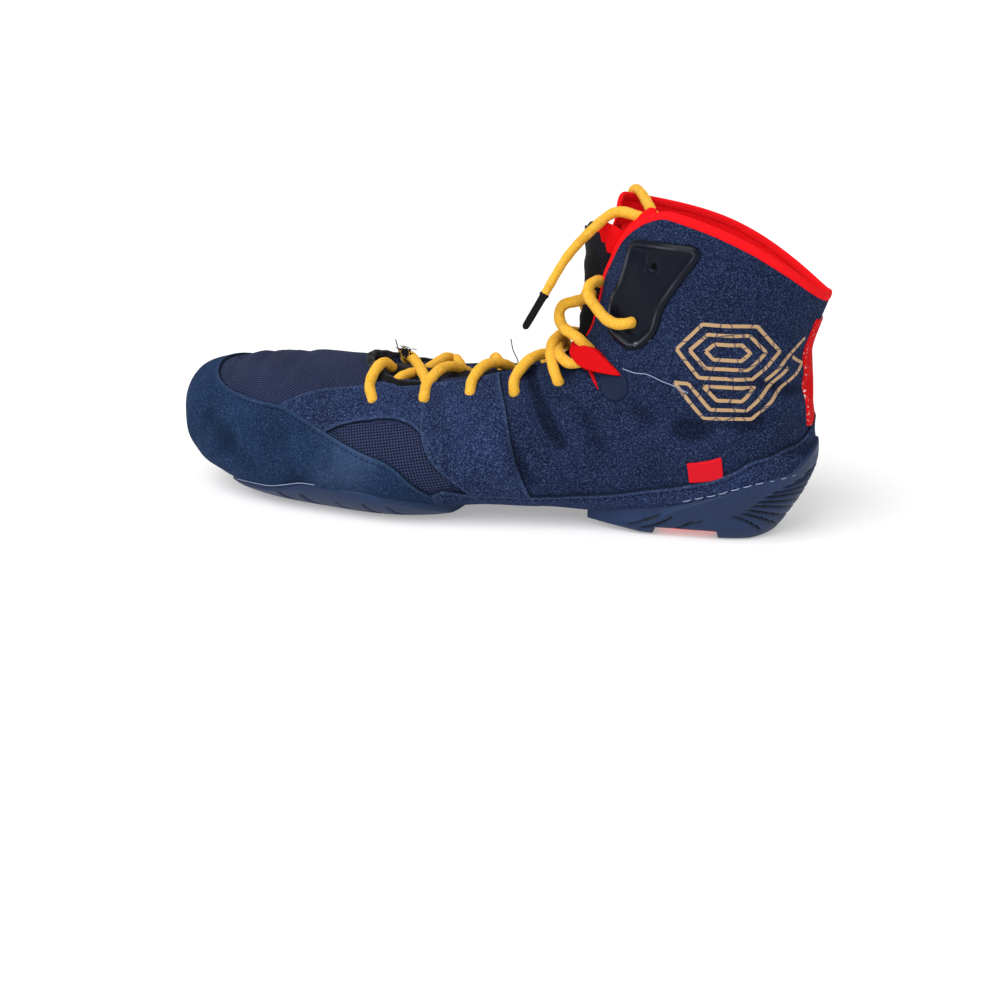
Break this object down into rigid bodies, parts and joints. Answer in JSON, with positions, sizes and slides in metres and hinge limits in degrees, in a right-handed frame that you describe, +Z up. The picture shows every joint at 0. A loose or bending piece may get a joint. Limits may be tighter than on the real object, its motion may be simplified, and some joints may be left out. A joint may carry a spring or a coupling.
{
  "type": "wrestling shoe",
  "caption": "Left ankle-high wrestling shoe in navy suede with a mesh tongue, cord laces, red collar binding and a split rubber sole.",
  "frame": {"origin": "on the floor plane under the middle of the shoe's outline, without its free lace ends", "axes": "-X toward the toe, +X toward the heel, -Y toward the outer side, +Z up"},
  "size_m": [0.2902, 0.1026, 0.1496],
  "materials": {
    "suede": "matt",
    "toe_suede": "matt",
    "rubber": "satin",
    "plate": "gloss",
    "red_webbing": "matt",
    "red_rubber": "satin",
    "red_label": "matt",
    "lace": "matt",
    "black_mesh": "matt",
    "board": "matt",
    "aglet": "satin"
  },
  "bodies": {
    "root": {"upper": "suede", "insole": "board", "forefoot_outsole": "rubber", "heel_outsole": "rubber", "heel_insert": "red_rubber", "toe_cap": "toe_suede", "foxing_band": "suede", "saddle_lateral": "suede", "saddle_medial": "suede", "lace_plate_lateral": "plate", "lace_plate_medial": "plate", "lace_loop_lateral": "red_webbing", "lace_loop_medial": "red_webbing", "lace_disc_lateral": "plate", "lace_disc_medial": "plate", "side_tab": "red_label", "back_strip": "red_webbing", "collar_binding": "red_webbing", "tongue": "black_mesh", "lace_crossings": "lace", "lace_end_lateral": "lace", "lace_end_medial": "lace", "aglet_lateral": "aglet"}
  },
  "joints": []
}
